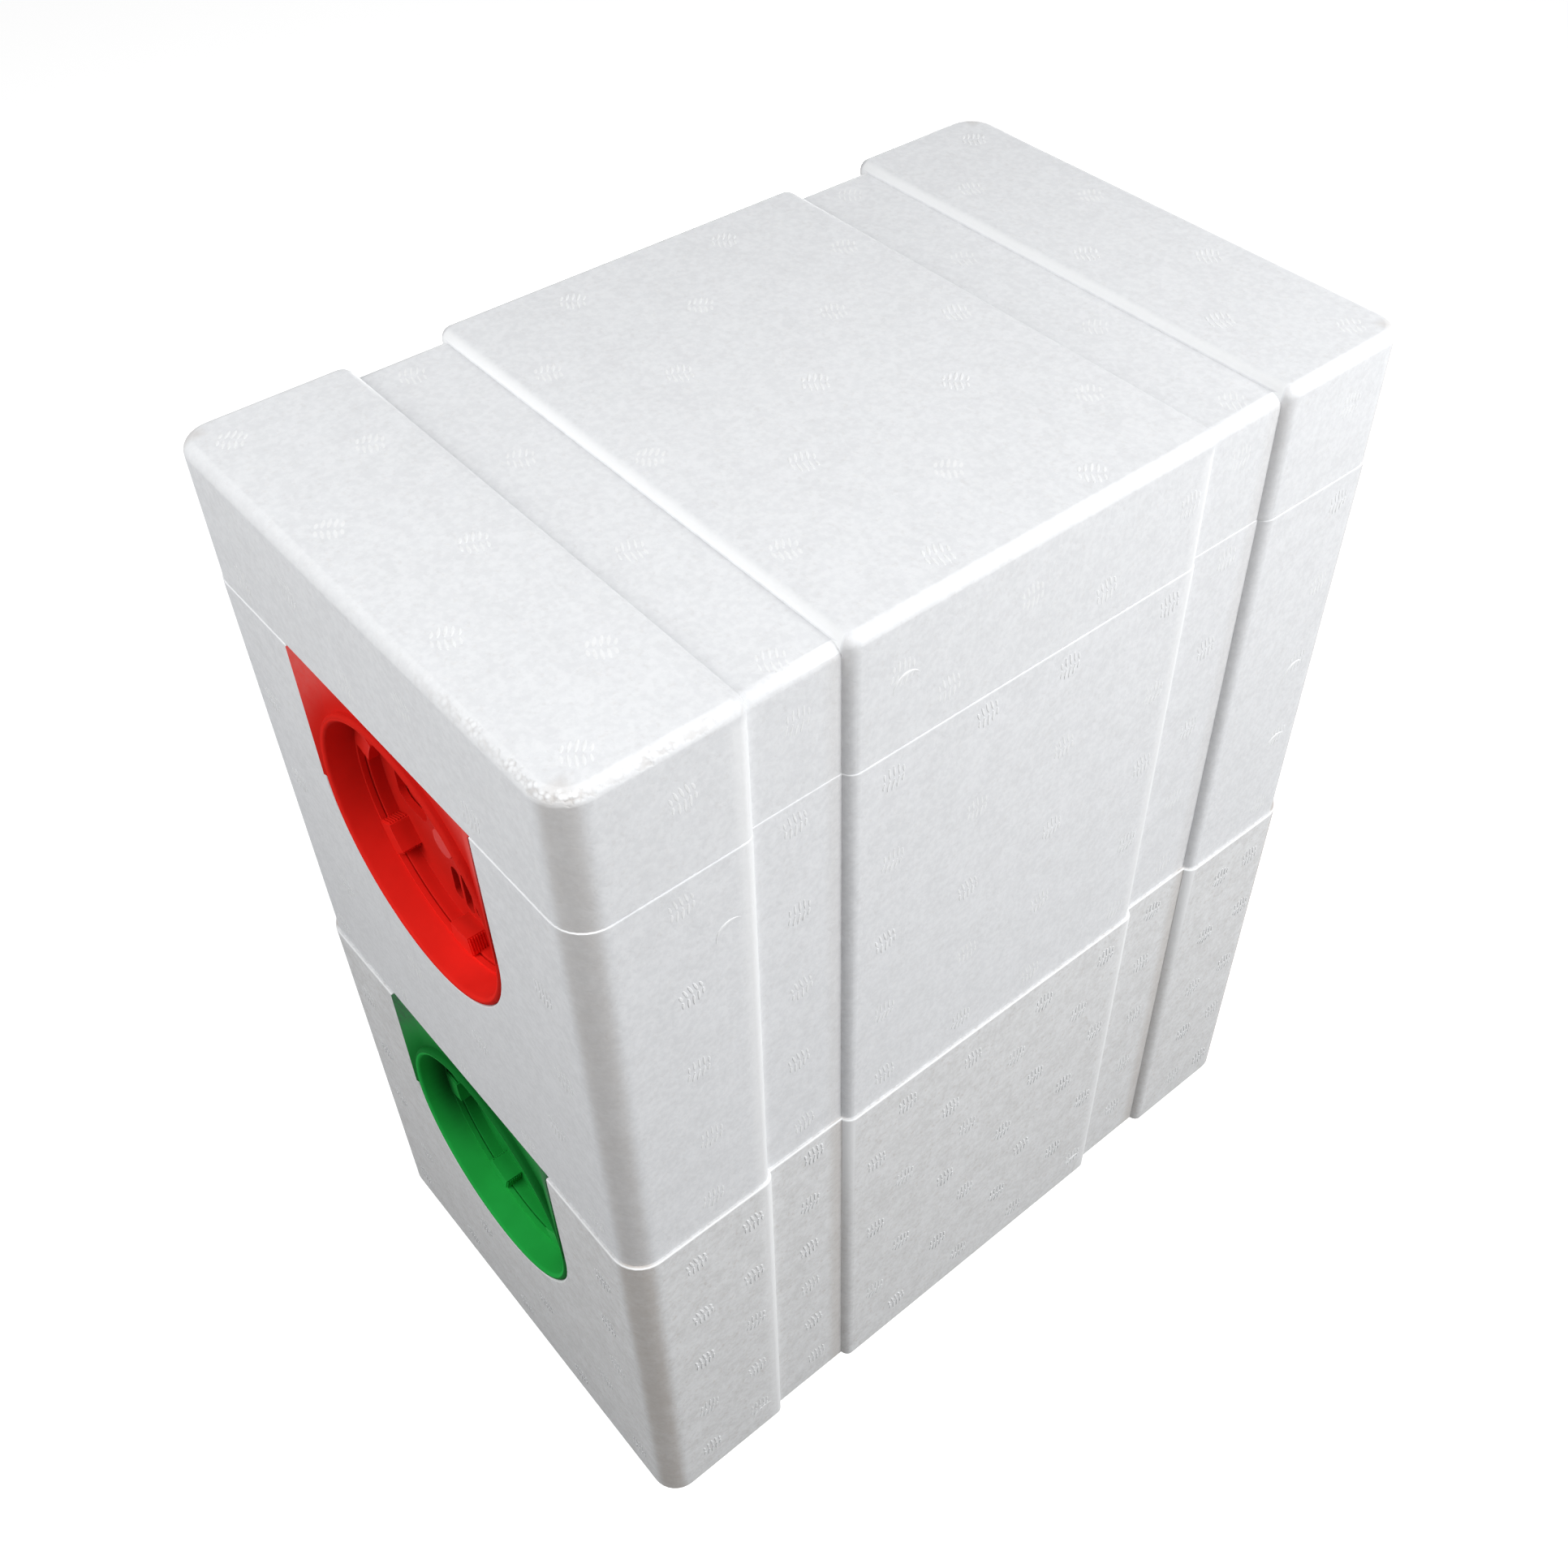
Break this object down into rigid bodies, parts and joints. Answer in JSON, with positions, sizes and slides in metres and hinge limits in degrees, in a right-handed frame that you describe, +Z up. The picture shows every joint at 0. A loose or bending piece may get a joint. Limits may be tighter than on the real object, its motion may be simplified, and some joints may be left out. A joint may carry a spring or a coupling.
{
  "type": "nuc box",
  "caption": "Stacked white foam mating nuc: lid, upper and lower body, strap channels, turning plastic entrances, comb frames and feeders inside.",
  "frame": {"origin": "centre of the standing face, at the bottom of the lower body", "axes": "+Z up, -Y out of the entrance face, +X to the right of someone who looks along +Y"},
  "size_m": [0.175, 0.283, 0.342],
  "materials": {
    "foam": "matte",
    "red_plastic": "satin",
    "green_plastic": "satin",
    "clear_sheet": "gloss",
    "grille_plastic": "satin",
    "tub_plastic": "satin",
    "pine": "matte",
    "beeswax": "satin"
  },
  "bodies": {
    "lower_box": {"lower_body": "foam", "lower_cover_sheet": "clear_sheet", "lower_entrance_housing": "green_plastic", "lower_pivot_rivet": "green_plastic", "lower_floor_grille": "grille_plastic", "lower_feeder": "tub_plastic", "lower_frame_1_top_bar": "pine", "lower_frame_1_end_bars": "pine", "lower_frame_1_bottom_bar": "pine", "lower_frame_1_foundation": "beeswax", "lower_frame_2_top_bar": "pine", "lower_frame_2_end_bars": "pine", "lower_frame_2_bottom_bar": "pine", "lower_frame_2_foundation": "beeswax", "lower_frame_3_top_bar": "pine", "lower_frame_3_end_bars": "pine", "lower_frame_3_bottom_bar": "pine", "lower_frame_3_foundation": "beeswax", "lower_frame_4_top_bar": "pine", "lower_frame_4_end_bars": "pine", "lower_frame_4_bottom_bar": "pine", "lower_frame_4_foundation": "beeswax"},
    "upper_box": {"upper_body": "foam", "upper_cover_sheet": "clear_sheet", "upper_entrance_housing": "red_plastic", "upper_pivot_rivet": "red_plastic", "upper_floor_grille": "grille_plastic", "upper_feeder": "tub_plastic", "upper_frame_1_top_bar": "pine", "upper_frame_1_end_bars": "pine", "upper_frame_1_bottom_bar": "pine", "upper_frame_1_foundation": "beeswax", "upper_frame_2_top_bar": "pine", "upper_frame_2_end_bars": "pine", "upper_frame_2_bottom_bar": "pine", "upper_frame_2_foundation": "beeswax", "upper_frame_3_top_bar": "pine", "upper_frame_3_end_bars": "pine", "upper_frame_3_bottom_bar": "pine", "upper_frame_3_foundation": "beeswax", "upper_frame_4_top_bar": "pine", "upper_frame_4_end_bars": "pine", "upper_frame_4_bottom_bar": "pine", "upper_frame_4_foundation": "beeswax"},
    "lid": {"lid": "foam"},
    "lower_cup": {"lower_turn_cup": "green_plastic"},
    "lower_float": {"lower_feeder_float": "tub_plastic"},
    "upper_cup": {"upper_turn_cup": "red_plastic"},
    "upper_float": {"upper_feeder_float": "tub_plastic"}
  },
  "joints": [
    {"name": "upper_box_lift", "type": "slide", "parent": "lower_box", "child": "upper_box", "axis": [0, 0, 1], "range_m": [0, 0.15]},
    {"name": "lid_lift", "type": "slide", "parent": "upper_box", "child": "lid", "axis": [0, 0, 1], "range_m": [0, 0.15]},
    {"name": "lower_cup_turn", "type": "hinge", "parent": "lower_box", "child": "lower_cup", "pos_m": [0, -0.1253, 0.105], "axis": [0, -1, 0], "continuous": true},
    {"name": "lower_float_rise", "type": "slide", "parent": "lower_box", "child": "lower_float", "axis": [0, 0, 1], "range_m": [0, 0.08]},
    {"name": "upper_cup_turn", "type": "hinge", "parent": "upper_box", "child": "upper_cup", "pos_m": [0, -0.1253, 0.252], "axis": [0, -1, 0], "continuous": true},
    {"name": "upper_float_rise", "type": "slide", "parent": "upper_box", "child": "upper_float", "axis": [0, 0, 1], "range_m": [0, 0.08]}
  ]
}
